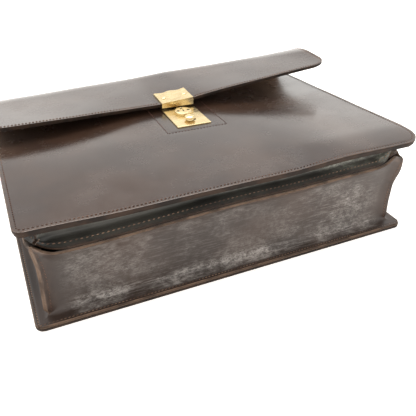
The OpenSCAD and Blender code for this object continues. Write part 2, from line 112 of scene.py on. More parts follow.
def bezier(a, b, c, d, count):
    t = np.linspace(0, 1, count)[:, None]
    a, b, c, d = (np.array(p, float) for p in (a, b, c, d))
    return (1 - t) ** 3 * a + 3 * (1 - t) ** 2 * t * b + 3 * (1 - t) * t ** 2 * c + t ** 3 * d


def arc(centre, radius, start, end, count):
    turn = np.radians(np.linspace(start, end, count))
    return np.array(centre, float) + radius * np.stack([np.cos(turn), np.sin(turn)], axis=1)


def with_line(steps, at, width=0.45):
    """The steps of a grid with three more, close together, where a stitched groove runs."""
    return np.unique(np.concatenate([steps, [at - width, at, at + width]]))


# ---------------- materials


def new_material(name, **settings):
    material = bpy.data.materials.new(name)
    material.use_nodes = True
    shader = material.node_tree.nodes["Principled BSDF"]
    for key, value in settings.items():
        shader.inputs[key.replace("_", " ")].default_value = value
    return material, shader


def add(material, kind, inputs=(), **settings):
    """A shader node of one kind. An input is a number, a colour or another node's socket."""
    node = material.node_tree.nodes.new("ShaderNode" + kind)
    for key, value in settings.items():
        setattr(node, key, value)
    for key, value in dict(inputs).items():
        if isinstance(value, bpy.types.NodeSocket):
            material.node_tree.links.new(value, node.inputs[key])
        else:
            node.inputs[key].default_value = value
    return node


def link(material, socket, target):
    material.node_tree.links.new(socket, target)


def noise_at(material, scale, detail=4, stretch=(1, 1, 1), roughness=0.55):
    """Noise fixed to the object, with scale in features per metre."""
    place_at = add(material, "TexCoord").outputs["Object"]
    mapped = add(material, "Mapping", {"Vector": place_at, "Scale": stretch}).outputs["Vector"]
    wanted = {"Vector": mapped, "Scale": scale, "Detail": detail, "Roughness": roughness}
    return add(material, "TexNoise", wanted).outputs["Fac"]


def span(material, value, low, high, to_low=0.0, to_high=1.0):
    wanted = {"Value": value, "From Min": low, "From Max": high, "To Min": to_low, "To Max": to_high}
    return add(material, "MapRange", wanted, interpolation_type="SMOOTHSTEP").outputs["Result"]


def times(material, a, b):
    return add(material, "Math", {0: a, 1: b}, operation="MULTIPLY").outputs[0]


def mixed(material, factor, a, b):
    node = add(material, "Mix", {0: factor, 6: a, 7: b}, data_type="RGBA")
    return node.outputs[2]


def painted(material, name):
    """A value that paint() has stored on the mesh."""
    return add(material, "Attribute", attribute_name=name, attribute_type="GEOMETRY").outputs["Fac"]


def bumped(material, shader, heights):
    """Stacks bumps on the shader: (height socket, strength, depth in metres)."""
    normal = None
    for height, strength, depth in heights:
        wanted = {"Height": height, "Strength": strength, "Distance": depth}
        if normal is not None:
            wanted["Normal"] = normal
        normal = add(material, "Bump", wanted).outputs["Normal"]
    link(material, normal, shader.inputs["Normal"])


def make_leather(name, colour, deep, roughness, coat, bloom_and_highlight_colour, worn):
    """Waxed bridle leather: mottled dye, pores, creases, wax bloom where painted, and worn edges. On the
    bottom gusset the painted bloom also carries a painted highlight along the fold at its foot.
    """
    m, shader = new_material(name, Coat_Weight=coat, Coat_Roughness=0.16)
    mottle = span(m, noise_at(m, 13, 5), 0.35, 0.68)
    tone = mixed(m, mottle, deep, colour)
    cloud = span(m, noise_at(m, 24, 10, (0.8, 1, 1.1), 0.7), 0.42, 0.60, 0.10, 1.0)
    specks = span(m, noise_at(m, 240, 8, (0.75, 1, 1), 0.8), 0.38, 0.60, 0.15, 1.0)
    scratches = span(m, noise_at(m, 700, 3, (0.06, 1, 1), 0.7), 0.50, 0.62, 0.0, 0.35)
    place_at = add(m, "TexCoord").outputs["Object"]
    drift = add(m, "TexNoise", {"Scale": 60, "Detail": 4}).outputs["Color"]
    shift = add(m, "VectorMath", {0: drift, 3: 0.02}, operation="SCALE").outputs[0]
    bent = add(m, "VectorMath", {0: place_at, 1: shift}, operation="ADD").outputs[0]
    cells = add(m, "TexVoronoi", {"Vector": bent, "Scale": 70}, feature="DISTANCE_TO_EDGE")
    cracks = span(m, cells.outputs["Distance"], 0.0, 0.09, 0.25, 1.0)
    haze = add(m, "Math", {0: times(m, cloud, specks), 1: scratches}, operation="ADD").outputs[0]
    bloom_and_highlight = times(m, times(m, haze, cracks), painted(m, "bloom_and_highlight"))
    tone = mixed(m, bloom_and_highlight, tone, bloom_and_highlight_colour)
    ragged = span(m, noise_at(m, 160, 5), 0.32, 0.62)
    wear = times(m, painted(m, "wear"), ragged)
    tone = mixed(m, wear, tone, worn)
    link(m, tone, shader.inputs["Base Color"])
    smudge = span(m, noise_at(m, 34, 6), 0.3, 0.7, roughness - 0.04, roughness + 0.06)
    rough = add(m, "Math", {0: smudge, 1: times(m, bloom_and_highlight, 0.3)}, operation="ADD", use_clamp=True)
    link(m, rough.outputs[0], shader.inputs["Roughness"])
    pores = add(m, "TexVoronoi", {"Vector": place_at, "Scale": 950})
    creases = noise_at(m, 120, 5, (0.5, 1, 1))
    bumped(m, shader, [(pores.outputs["Distance"], 0.05, 0.0002), (creases, 0.02, 0.001),
        (bloom_and_highlight, 0.15, 0.0006)])
    return m


def make_flesh(name, colour, deep):
    """The inner side of leather, or a lining: matt, fibrous and a little uneven."""
    m, shader = new_material(name, Roughness=0.82, Sheen_Weight=0.25)
    fibres = span(m, noise_at(m, 640, 4, (1, 0.4, 1)), 0.3, 0.7)
    patches = span(m, noise_at(m, 22, 5), 0.3, 0.7, 0.0, 0.6)
    link(m, mixed(m, patches, mixed(m, fibres, deep, colour), deep), shader.inputs["Base Color"])
    bumped(m, shader, [(fibres, 0.35, 0.0004)])
    return m


def make_edge(name, colour, deep):
    """A cut leather edge, dyed and burnished, rubbed back to tan in places."""
    m, shader = new_material(name, Roughness=0.6, Specular_IOR_Level=0.15)
    rubbed = span(m, noise_at(m, 60, 6), 0.36, 0.6)
    layers = span(m, noise_at(m, 300, 3, (1, 1, 6)), 0.35, 0.65, 0.0, 0.4)
    link(m, mixed(m, layers, mixed(m, rubbed, deep, colour), deep), shader.inputs["Base Color"])
    bumped(m, shader, [(layers, 0.3, 0.0004)])
    return m


def make_thread(name, colour, deep):
    """Waxed linen thread, its twist showing as slanting strands."""
    m, shader = new_material(name, Roughness=0.6)
    place_at = add(m, "TexCoord").outputs["Object"]
    wanted = {"Vector": place_at, "Scale": 900, "Distortion": 1.5}
    twist = add(m, "TexWave", wanted, bands_direction="DIAGONAL").outputs["Fac"]
    soiled = span(m, noise_at(m, 45, 4), 0.35, 0.65)
    link(m, mixed(m, soiled, colour, deep), shader.inputs["Base Color"])
    bumped(m, shader, [(twist, 0.5, 0.0002)])
    return m


def make_metal(name, colour, deep, roughness):
    """Polished metal with fine rubbing marks and a little tarnish."""
    m, shader = new_material(name, Metallic=1.0)
    tarnish = span(m, noise_at(m, 110, 4), 0.4, 0.75, 0.0, 0.6)
    link(m, mixed(m, tarnish, colour, deep), shader.inputs["Base Color"])
    rub = noise_at(m, 900, 3, (0.15, 1, 1))
    link(m, span(m, rub, 0.3, 0.7, roughness - 0.06, roughness + 0.08), shader.inputs["Roughness"])
    bumped(m, shader, [(rub, 0.06, 0.0002)])
    return m


def make_floor():
    """A pale floor that glows a little, so that it stays nearly white round the case."""
    glow = {"Emission_Color": (1, 0.98, 0.94, 1), "Emission_Strength": 0.55}
    m, shader = new_material("pale_floor", Roughness=0.7, **glow)
    cloudy = mixed(m, noise_at(m, 3, 2), (0.93, 0.915, 0.89, 1), (0.95, 0.94, 0.92, 1))
    link(m, cloudy, shader.inputs["Base Color"])
    return m


panel_face = make_leather("bridle_leather", (0.044, 0.022, 0.013, 1), (0.024, 0.012, 0.008, 1), 0.22, 0.35,
    (0.12, 0.085, 0.06, 1), (0.15, 0.08, 0.045, 1))
# The bottom gusset's pale bloom colour also paints the highlight along the fold at its foot.
gusset_face = make_leather("gusset_leather", (0.050, 0.031, 0.023, 1), (0.026, 0.016, 0.012, 1), 0.46, 0.08,
    (0.36, 0.33, 0.305, 1), (0.17, 0.10, 0.065, 1))
# The front gusset's leather: greyer than gusset_leather, with a darker deep tone that is partly painted
# shade for the recess it lies in; the grey bloom is the leather's own.
valley_face = make_leather("valley_leather", (0.050, 0.047, 0.040, 1), (0.016, 0.015, 0.013, 1), 0.50, 0.03,
    (0.40, 0.40, 0.35, 1), (0.09, 0.06, 0.045, 1))
flesh = make_flesh("flesh_side", (0.20, 0.13, 0.085, 1), (0.12, 0.075, 0.05, 1))
lining_face = make_flesh("suede_lining", (0.25, 0.15, 0.09, 1), (0.15, 0.09, 0.055, 1))
cut_edge = make_edge("burnished_edge", (0.040, 0.023, 0.015, 1), (0.014, 0.009, 0.007, 1))
raw_edge = make_edge("raw_edge", (0.15, 0.098, 0.068, 1), (0.055, 0.036, 0.026, 1))
thread = make_thread("brown_thread", (0.16, 0.075, 0.045, 1), (0.07, 0.032, 0.02, 1))
dark_thread = make_thread("dark_thread", (0.11, 0.04, 0.028, 1), (0.05, 0.02, 0.015, 1))
light_thread = make_thread("tan_thread", (0.30, 0.19, 0.125, 1), (0.09, 0.05, 0.032, 1))
brass = make_metal("satin_brass", (0.74, 0.60, 0.34, 1), (0.58, 0.44, 0.23, 1), 0.26)
# Dark patina, also used as painted shade in the escutcheon's hollows and in the keyhole.
patina_and_shade = make_metal("dark_patina_and_shade", (0.10, 0.08, 0.045, 1), (0.05, 0.04, 0.025, 1), 0.5)
steel = make_metal("brushed_steel", (0.60, 0.59, 0.57, 1), (0.40, 0.39, 0.37, 1), 0.36)

outer_looks = (panel_face, flesh, cut_edge)
gusset_looks = (gusset_face, flesh, raw_edge)
# The front gusset's rim takes the dark burnished edge, not the tan raw edge: painted shade, so that it
# reads as part of the shaded recess.
valley_looks = (valley_face, flesh, cut_edge)
lining_looks = (lining_face, flesh, cut_edge)

# ---------------- meshes


def new_object(name, points, faces, looks):
    """A mesh object from points in millimetres."""
    mesh = bpy.data.meshes.new(name)
    mesh.from_pydata([place(p) for p in points], [], faces)
    for material in looks:
        mesh.materials.append(material)
    obj = bpy.data.objects.new(name, mesh)
    bpy.context.collection.objects.link(obj)
    return obj


def settle(obj, sharp=40):
    """Applies the modifiers. With sharp, shades smooth and keeps edges sharper than that angle."""
    graph = bpy.context.evaluated_depsgraph_get()
    mesh = bpy.data.meshes.new_from_object(obj.evaluated_get(graph))
    obj.modifiers.clear()
    obj.data = mesh
    if sharp:
        mesh.polygons.foreach_set("use_smooth", [True] * len(mesh.polygons))
        mesh.set_sharp_from_angle(angle=math.radians(sharp))
    return obj


def paint(obj, name, rule):
    """Stores rule(x, v, z), worked out for every vertex in millimetres, for the materials to read."""
    mesh = obj.data
    points = np.zeros(len(mesh.vertices) * 3, np.float32)
    mesh.vertices.foreach_get("co", points)
    x, y, z = points.reshape(-1, 3).T / MM
    values = np.clip(rule(x, y - base_y, z), 0, 1) * np.ones(len(x))
    stored = mesh.attributes.new(name, "FLOAT", "POINT")
    stored.data.foreach_set("value", values.astype(np.float32))


def even(amount):
    """The rule that paints every vertex alike."""
    return lambda x, v, z: amount


def grid_face(r, c, cols):
    """The corners of one face of a grid of points."""
    return [r * cols + c, r * cols + c + 1, (r + 1) * cols + c + 1, (r + 1) * cols + c]


def round_edges(obj, width, angle):
    """Rounds the edges that are sharper than the angle."""
    rounded = obj.modifiers.new("rounded edges", "BEVEL")
    rounded.width = width * MM
    rounded.segments = 2
    rounded.limit_method = "ANGLE"
    rounded.angle_limit = math.radians(angle)


def rippled(grid, amount, size, seed):
    """The grid with each point moved a little along its normal, as worn leather undulates."""
    normal = np.cross(np.gradient(grid, axis=1), np.gradient(grid, axis=0))
    normal /= np.maximum(np.linalg.norm(normal, axis=2, keepdims=True), 1e-9)
    waves = [[noise.noise(Vector(p) / size + Vector((seed, 0, 0))) for p in row] for row in grid]
    return grid + normal * (amount * np.array(waves))[:, :, None]


def sheet(name, grid, thickness, looks, flip=False, edge=0.55, skip=None):
    """A piece of leather. The grid is its outer face; rows by columns turn outwards, or inwards with flip.
    skip(x, v) says where there is a hole. The rim takes the third of the looks."""
    rows, cols = grid.shape[:2]
    faces = []
    for r in range(rows - 1):
        for c in range(cols - 1):
            face = grid_face(r, c, cols)
            middle = (grid[r, c] + grid[r + 1, c + 1]) / 2
            if skip is None or not skip(middle[0], middle[1]):
                faces.append(face[::-1] if flip else face)
    obj = new_object(name, grid.reshape(-1, 3), faces, looks)
    thick = obj.modifiers.new("thickness", "SOLIDIFY")
    thick.thickness = thickness * MM
    thick.offset = -1
    thick.material_offset = 1
    thick.material_offset_rim = 2
    round_edges(obj, edge, 55)
    return settle(obj)


def tube(name, rings, looks):
    """A closed skin through rings of points, with a flat cap at each end."""
    count = len(rings[0])
    faces = []
    for row in range(0, (len(rings) - 1) * count, count):
        for i in range(count):
            after = (i + 1) % count
            faces.append([row + i, row + after, row + count + after, row + count + i])
    last = (len(rings) - 1) * count
    faces.append(list(range(count))[::-1])
    faces.append([last + i for i in range(count)])
    obj = new_object(name, np.array(rings).reshape(-1, 3), faces, looks)
    return settle(obj)


def resampled(path, pitch):
    """Points and directions at an even pitch along a path."""
    path = np.array(path, float)
    length = np.concatenate([[0], np.cumsum(np.linalg.norm(np.diff(path, axis=0), axis=1))])
    count = int(length[-1] / pitch)
    at = (np.arange(count) + 0.5) * length[-1] / count
    point = np.stack([np.interp(at, length, path[:, k]) for k in range(3)], axis=1)
    ahead = np.stack([np.interp(at + 0.5, length, path[:, k]) for k in range(3)], axis=1)
    behind = np.stack([np.interp(at - 0.5, length, path[:, k]) for k in range(3)], axis=1)
    way = ahead - behind
    return point, way / np.linalg.norm(way, axis=1, keepdims=True)


def stitches(name, paths, up, look=thread, pitch=3.4, length=2.4, radius=0.36, slant=14):
    """A row of saddle stitches along each path: short fat strands, slanted and sunk at their ends."""
    sides = 6
    steps = 5
    up = np.array(up, float)
    points = []
    faces = []
    for path in paths:
        for centre, way in zip(*resampled(path, pitch)):
            side = np.cross(up, way)
            side /= np.linalg.norm(side)
            raised = np.cross(way, side)
            turn = math.radians(slant)
            way_s = way * math.cos(turn) + side * math.sin(turn)
            side_s = side * math.cos(turn) - way * math.sin(turn)
            start = len(points)
            for k in range(steps):
                t = k / (steps - 1) * 2 - 1
                fat = radius * (1 - 0.75 * t * t)
                mid = centre + way_s * t * length / 2 + raised * (0.5 * radius - 0.5 * radius * t * t)
                for i in range(sides):
                    a = 2 * math.pi * i / sides
                    points.append(mid + fat * (side_s * math.cos(a) + raised * math.sin(a)))
            for k in range(steps - 1):
                for i in range(sides):
                    j = (i + 1) % sides
                    row = start + k * sides
                    over = row + sides
                    faces.append([row + i, over + i, over + j, row + j])
            faces.append([start + i for i in range(sides)])
            faces.append([start + (steps - 1) * sides + i for i in range(sides)][::-1])
    return settle(new_object(name, points, faces, (look,)), 80)


def refined(node, look, width=0.25, recess=None):
    """A metal part with the CAD node's shape and its sharp edges rounded, in place of the node.
    recess(x, v, z) says which faces lie in a hollow: they take the dark patina, partly the real patina of a
    hollow and partly painted shade."""
    obj = bpy.data.objects.new(node + "_metal", frame["nodes"][node].data.copy())
    bpy.context.collection.objects.link(obj)
    obj.data.polygons.foreach_set("use_smooth", [True] * len(obj.data.polygons))
    weld = obj.modifiers.new("weld", "WELD")
    weld.merge_threshold = 0.00001
    faces = obj.modifiers.new("flat faces", "DECIMATE")
    faces.decimate_type = "DISSOLVE"
    faces.angle_limit = math.radians(1)
    round_edges(obj, width, 35)
    even = obj.modifiers.new("even shading", "WEIGHTED_NORMAL")
    even.weight = 100
    settle(obj, None)
    obj.data.materials.clear()
    obj.data.materials.append(look)
    obj.data.materials.append(patina_and_shade)
    for face in obj.data.polygons if recess else ():
        x, y, z = face.center / MM
        face.material_index = int(recess(x, y - base_y, z))
    rides(obj, node)


body_of = {node: body for body, nodes in frame["record"]["behaviour"]["bodies"].items() for node in nodes}


def rides(obj, node):
    """The piece moves with the CAD node that it stands for."""
    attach(obj, body_of[node])
    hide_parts(node)


def mouth_bend(obj):
    """Leather sewn to the back panel below and to the divider above."""
    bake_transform(obj)


def front_bend(obj):
    """Leather sewn to the divider below and to the front panel above."""
    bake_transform(obj)


# ---------------- shapes shared by several pieces


def front_rise(x, v):
    """How much the front panel stands above its middle: lifted at the right, sagging near the mouth."""
    x, v = np.asarray(x, float), np.asarray(v, float)
    right = smooth(x, 30, 115)
    along = np.where(v < 37, 5 - 0.0011 * (37 - v) ** 2, 5 - 0.06 * (v - 37))
    dip = 1.2 * np.exp(-((x + 118) / 45) ** 2 - (v / 25) ** 2)
    sag = 5 * smooth(-x, 40, 150) * smooth(v, 108, 195)
    return right * along - dip - sag


def rounded_off(x, v, r):
    """Points outside a panel's rounded bottom corner are drawn in to it."""
    a, b = half_w - np.abs(x), np.array(v, float)
    over = np.hypot(np.maximum(r - a, 0), np.maximum(r - b, 0))
    shrink = np.where(over > r - 0.8, (r - 0.8) / np.maximum(over, 1e-6), 1)
    inside = (a < r) & (b < r)
    a = np.where(inside, r - (r - a) * shrink, a)
    b = np.where(inside, r - (r - b) * shrink, b)
    return np.sign(x) * (half_w - a), b


def edge_distance(x, v):
    """Distance in from the front panel's outline, its rounded bottom corners included."""
    r = np.where(np.asarray(x) > 0, front_corner_r[1], front_corner_r[-1])
    a, b = half_w - np.abs(x), np.asarray(v, float)
    in_corner = (a < r) & (b < r)
    return np.where(in_corner, r - np.hypot(r - a, r - b), np.minimum(a, b))


def corner_cut(r, distance):
    """How far a corner rounded by r draws the outline in, at a distance from the adjoining side."""
    return r - math.sqrt(max(0, r * r - max(0, r - distance) ** 2))


def panel_grid(v_steps, u_steps, left_r, right_r):
    """Rows up a panel, each row as long as the rounded corners let it be."""
    rows = []
    for v in v_steps:
        ends = [corner_cut(left_r, v) - half_w, half_w - corner_cut(right_r, v)]
        x = np.interp(u_steps, [-half_w, half_w], ends)
        rows.append(np.stack([x, np.full(len(x), v), np.zeros(len(x))], axis=1))
    return np.array(rows)


# ---------------- gussets

corner_run = 46         # past this distance from a corner a gusset runs straight
seam_a = 14             # the ridge's lift is taken this far from the corner for a seam's tip
wall_foot = (17, 30)    # depth and height where the foot of the rear gusset's section meets its wall
root2 = math.sqrt(2)


def seam_tip(side, z):
    """How far in from both outlines the raw edges of a corner seam lie, by height."""
    if side > 0:
        return 12.9 + 0.9 * smooth(z, 9, 35) - 3.1 * smooth(z, 50, 74) + 4.5 * smooth(z, 80, 93)
    return 11.1 + 1.2 * smooth(z, 10, 50) - 3.3 * smooth(z, 55, 88)


def corner_plan(depth, tip, fold):
    """Plan of a gusset from its raw edge at a corner, where it turns out to the seam, to its straight run.
    Gives a, the distance from the adjoining side's outline, and b, the distance from its own."""
    thick = gusset_t * fold
    deep = max(depth, tip)
    edge = np.array([tip + thick / root2, tip - thick / root2])
    corner = np.array([deep + root2 * thick, deep])
    joins = corner + [9, 0]
    t = np.linspace(0, 1, 9)[:, None]
    curve = (1 - t) ** 2 * edge + 2 * (1 - t) * t * corner + t ** 2 * joins
    run = np.linspace(joins[0], corner_run, 5)[1:]
    a = np.concatenate([curve[:, 0], run])
    b = np.concatenate([curve[:, 1], np.full(len(run), deep)])
    return a, b - (deep - depth) * smooth(a, deep + 3, deep + 24)


def rear_rows(side):
    """Section of the rear gusset: (depth, z, seam tip, fold, lift share, rise share, foot share)."""
    foot_d = 9.6
    rows = []
    for depth, drop in [(1, 0), (2, 0), (2.5, 0), (3, 0.22), (3.5, 0), (5, 0), (7, 0)]:
        rows.append((depth, flange_z - drop, depth, 0, 0, 0, max(0, (depth - 3.6) / (foot_d - 3.6))))
    foot = bezier((foot_d, flange_z), (14.6, flange_z), (15.4, 8.5), wall_foot, 9)
    for k, (depth, z) in enumerate(foot[:-1]):
        t = k / 8
        gather = float(smooth(z, flange_z, 12))
        tip = depth + (seam_tip(side, z) - depth) * gather
        rows.append((depth, z, tip, gather, 0, 0, (1 - t) ** 3 + 3 * (1 - t) ** 2 * t))
    wall = bezier(wall_foot, (17.6, 50), (15.5, 74.5), (ridge_edge, ridge_z - gusset_t), 16)
    for depth, z in wall:
        lift = float(smooth(z, 45, 76))
        tip = seam_tip(side, z + lift * ridge_lift(side, seam_a))
        rows.append((depth, z, tip, 1 - float(smooth(z, 74, 77.6)), lift, 0, 0))
    return rows


def front_rows(side):
    """Section of the front gusset, in the same terms."""
    valley_d = ridge_edge + 0.8
    inner_d = 17.0
    wall_d = 20.0
    tucked = 4.2                                    # the ridge's end lies this far behind the rear seam
    ridge_tip = float(seam_tip(side, ridge_z + ridge_lift(side, seam_a))) + tucked
    wall_tip = 16.6 if side > 0 else 15.4
    squeeze = valley_z - ridge_z - gusset_t - 0.1   # the flange is pressed down on the divider by its seam
    pressed = [(valley_d, squeeze), (8, squeeze * 0.9), (9.4, squeeze * 0.6), (10.9, squeeze * 0.3)]
    pressed += [(11.4, squeeze * 0.3 + 0.2), (11.9, squeeze * 0.2), (14, 0), (inner_d, 0)]
    rows = []
    for depth, drop in pressed:
        share = (depth - valley_d) / (inner_d - valley_d)
        rows.append((depth, valley_z - drop, ridge_tip + share * (inner_d - ridge_tip), 0, 1, 0, 0))
    for depth, z in arc((inner_d, valley_z + 3), 3, -70, 0, 4):
        rows.append((depth, z, wall_tip + 0.3, 0.6, 0.9, 0.1, 0))
    for k in range(1, 5):
        z = valley_z + 3 + k * (front_flange_z - valley_z - 5) / 4
        rows.append((wall_d, z, wall_tip, 1, 1 - k / 4 * 0.9, k / 4 * 0.9, 0))
    for depth, z in arc((wall_d - 2, front_flange_z - 2), 2, 30, 90, 3):
        rows.append((depth, z, wall_tip + 0.3, 0.5, 0, 1, 0))
    for depth in (15.5, 12, 8, 4, 1):
        rows.append((depth, front_flange_z, depth, 0, 0, 1, 0))
    return rows


def ridge_lift(side, a):
    """How much the ridge rises towards a corner seam, at a distance a from the corner."""
    if side > 0:
        broad = 2.8 * (1 - smooth(a, 50, 160)) + 9.2 * (1 - smooth(a, 16, 50))
        return broad - 4.5 * (1 - smooth(a, 14, 25))
    return 7 * (1 - smooth(a, 6, 22)) - 5.2 * smooth(a, 8, 26) * (1 - smooth(a, 44, 200))


def foot_shift(x):
    """The fold at the foot of the bottom gusset wanders in and out along the case."""
    shift = 3 - 6.2 * smooth(x, -140, 130) + 2.6 * smooth(x, 140, 180) - 6.7 * smooth(-x, 150, 188)
    return shift * smooth(half_w - np.abs(x), 10, 26)


def gusset_bottom(make_rows, radii, seed):
    """radii holds the rounding of the outline at the left (-1) and right (1) corners."""
    grid = []
    for left, right in zip(make_rows(-1), make_rows(1)):
        depth, z, _, fold, lift, rise, foot = left
        al, bl = corner_plan(depth, left[2], fold)
        ar, br = corner_plan(depth, right[2], fold)
        straight = np.linspace(-half_w + corner_run, half_w - corner_run, 34)[1:-1]
        x = np.concatenate([al - half_w, straight, (half_w - ar)[::-1]])
        v = np.concatenate([bl, np.full(len(straight), depth), br[::-1]])
        a = half_w - np.abs(x)
        wave = [noise.noise(Vector((px / 38, seed, z / 30))) for px in x]
        v = v + foot * foot_shift(x) + fold * 1.1 * smooth(a, 24, 46) * np.array(wave)
        x, v = rounded_off(x, v, np.where(x > 0, radii[1], radii[-1]))
        z = z + lift * np.where(x > 0, ridge_lift(1, a), ridge_lift(-1, a)) + rise * front_rise(x, v)
        grid.append(np.stack([x, v, z], axis=1))
    return np.array(grid)


def gusset_side(make_rows, side, top_v, r, seed):
    """The gusset up one side, from its corner seam to top_v, in the outline's rounding r."""
    grid = []
    for depth, z, tip, fold, lift, rise, _ in make_rows(side):
        a, b = corner_plan(depth, tip, fold)
        straight = np.linspace(corner_run, top_v, 22)[1:]
        v = np.concatenate([a, straight])
        inset = np.concatenate([b, np.full(len(straight), depth)])
        wave = [noise.noise(Vector((pv / 45, seed, z / 30))) for pv in v]
        inset = inset + fold * 1.3 * smooth(v, 24, 46) * np.array(wave)
        x, v_in = rounded_off(side * (half_w - inset), v, r)
        z = z + lift * ridge_lift(side, v) + rise * front_rise(x, v_in)
        grid.append(np.stack([x, v_in, z], axis=1))
    return np.array(grid)


def gusset_wear(x, v, z):
    """Rubbed where the ridge and the corner seams stand proud."""
    a, b = half_w - np.abs(x), v
    seam = np.exp(-np.abs(a - b) / 2.5) * smooth(z, 12, 20) * (a < 24) * (b < 24)
    ridge = smooth(z, ridge_z - 9, ridge_z - 2) * (1 - smooth(b, 9, 12)) * 0.9
    return np.maximum(0.55 * seam, ridge * (z < valley_z + 12))


def bottom_bloom_and_highlight(x, v, z):
    """Wax bloom over the hollow of the bottom, fading out before its ends, with extra bloom along the fold
    at its foot as a painted highlight.
    """
    ends = smooth(half_w - np.abs(x), 20, 44)
    height = smooth(v, 4.2, 6.5) * (1 - smooth(z, ridge_z - 12, ridge_z - 2) * 0.8)
    # painted highlight: extra bloom low on the wall stands in for the light band along the fold at its foot
    foot = 1.3 * (1 - smooth(z, 7, 15))
    patches = 0.6 * np.exp(-((x - 115) / 34) ** 2 - ((z - 42) / 20) ** 2)
    clear = 1 - 0.75 * np.exp(-((x - 15) / 26) ** 2 - ((z - 42) / 20) ** 2)
    return ends * np.minimum(1, height * ((0.30 + patches) * clear + foot))


def side_bloom(x, v, z):
    return 0.25 * smooth(z, 8, 20)


def valley_bloom(x, v, z):
    return smooth(z, valley_z + 0.5, valley_z + 4)


def valley_wear(x, v, z):
    """Rubbed along the bottom, at the flange sewn to the divider."""
    return 0.5 * (1 - smooth(v, 8, 10)) * (z < valley_z + 14)


def build_gusset(node, grid, looks, bloom_and_highlight, wear, bend):
    """One piece of a gusset. The left one is turned the other way round to face outwards."""
    flip = node.endswith("left")
    leather = sheet(node + "_leather", grid, gusset_t, looks, flip, edge=0.9)
    paint(leather, "bloom_and_highlight", bloom_and_highlight)
    paint(leather, "wear", wear)
    bend(leather)
    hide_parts(node)


rear_bottom = gusset_bottom(rear_rows, {-1: corner_r, 1: corner_r}, 3.1)
rear_left = gusset_side(rear_rows, -1, rear_top_v, corner_r, 7.7)
rear_right = gusset_side(rear_rows, 1, rear_top_v, corner_r, 5.2)
build_gusset("rear_gusset_bottom", rear_bottom, gusset_looks, bottom_bloom_and_highlight, gusset_wear, mouth_bend)
for part, grid in [("left", rear_left), ("right", rear_right)]:
    build_gusset("rear_gusset_" + part, grid, gusset_looks, side_bloom, gusset_wear, mouth_bend)

front_bottom = gusset_bottom(front_rows, front_corner_r, 11.3)
front_left = gusset_side(front_rows, -1, front_h, front_corner_r[-1], 2.9)
front_right = gusset_side(front_rows, 1, front_h, front_corner_r[1], 8.8)
for part, grid in [("bottom", front_bottom), ("left", front_left), ("right", front_right)]:
    build_gusset("front_gusset_" + part, grid, valley_looks, valley_bloom, valley_wear, front_bend)

# Saddle stitching: the lower flange, the valley flange, and the two corner seams
flange_line = 3         # rows of the gussets' grids, and the column from a corner, that the thread follows
valley_line = 4
seam_column = 2
lower_paths = [rear_bottom[flange_line], rear_left[flange_line], rear_right[flange_line]]
flange_thread = stitches("flange_stitches", lower_paths, (0, 0, 1), light_thread, radius=0.45)
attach(flange_thread, "case")
valley_paths = [front_bottom[valley_line], front_left[valley_line], front_right[valley_line]]
valley_thread = stitches("valley_stitches", valley_paths, (0, 0, 1), light_thread, 4.4, 2.8, 0.6)
front_bend(valley_thread)
seam_rows = slice(11, -3)
seams = [("left_seam_stitches", seam_column, 1), ("right_seam_stitches", -1 - seam_column, -1)]
for name, column, way in seams:
    seam_thread = stitches(name, [rear_bottom[seam_rows, column]], (way, -1, 0))
    mouth_bend(seam_thread)

# ---------------- panels and linings

stitch_inset = 3.6
rectangle_half = 33.8
rectangle_v = lock_v - 8.7
rectangle_top = lock_v + 70     # out of sight under the flap
lock_hole_half = 13             # half width of the opening in the front panel under the lock plate,
lock_hole_from = lock_v + 6     # and its lower and upper ends
lock_hole_to = lock_v + 70


def groove(distance, depth=0.10, width=0.5):
    return depth * np.exp(-(distance / width) ** 2)


def front_top(x, v):
    """Height of the front panel's outer face, with the grooves that the stitches lie in."""
    border = groove(edge_distance(x, v) - stitch_inset)
    sides = groove(np.abs(x) - rectangle_half) * (v > rectangle_v)
    foot = groove(v - rectangle_v) * (np.abs(x) < rectangle_half)
    return case_t + front_rise(x, v) - np.maximum(border, np.maximum(sides, foot) * 0.8)


def front_steps():
    v_steps = np.concatenate([[0, 1, 2.2, 5.5, 8, 12, 17], np.linspace(22, front_h, 40)])
    v_steps = with_line(with_line(v_steps, stitch_inset), rectangle_v)
    half = np.concatenate([np.linspace(0, half_w - 22, 26), half_w - np.array([17, 12, 8, 5.5, 2.2, 1, 0])])
    half = with_line(with_line(half, half_w - stitch_inset), rectangle_half)
    return v_steps, np.unique(np.concatenate([-half, half]))


def build_front_panel():
    """The front panel, nearly flat round the lock and a little uneven elsewhere."""
    v_steps, x_steps = front_steps()
    grid = panel_grid(v_steps, x_steps, front_corner_r[-1], front_corner_r[1])
    grid[:, :, 2] = front_top(grid[:, :, 0], grid[:, :, 1])
    waves = [[noise.noise(Vector((p[0] / 70, p[1] / 55, 4.2))) for p in row] for row in grid]
    calm = smooth(np.hypot(grid[:, :, 0], grid[:, :, 1] - lock_v - 35), 45, 90)
    grid[:, :, 2] += 0.5 * calm * np.array(waves)

    def under_lock(x, v):
        return abs(x) < lock_hole_half and lock_hole_from < v < lock_hole_to

    panel = sheet("front_panel_leather", grid, panel_t, outer_looks, edge=0.8, skip=under_lock)
    paint(panel, "bloom_and_highlight", even(0.10))
    paint(panel, "wear", lambda x, v, z: 0.75 * np.exp(-np.maximum(edge_distance(x, v), 0)))
    rides(panel, "front_panel")


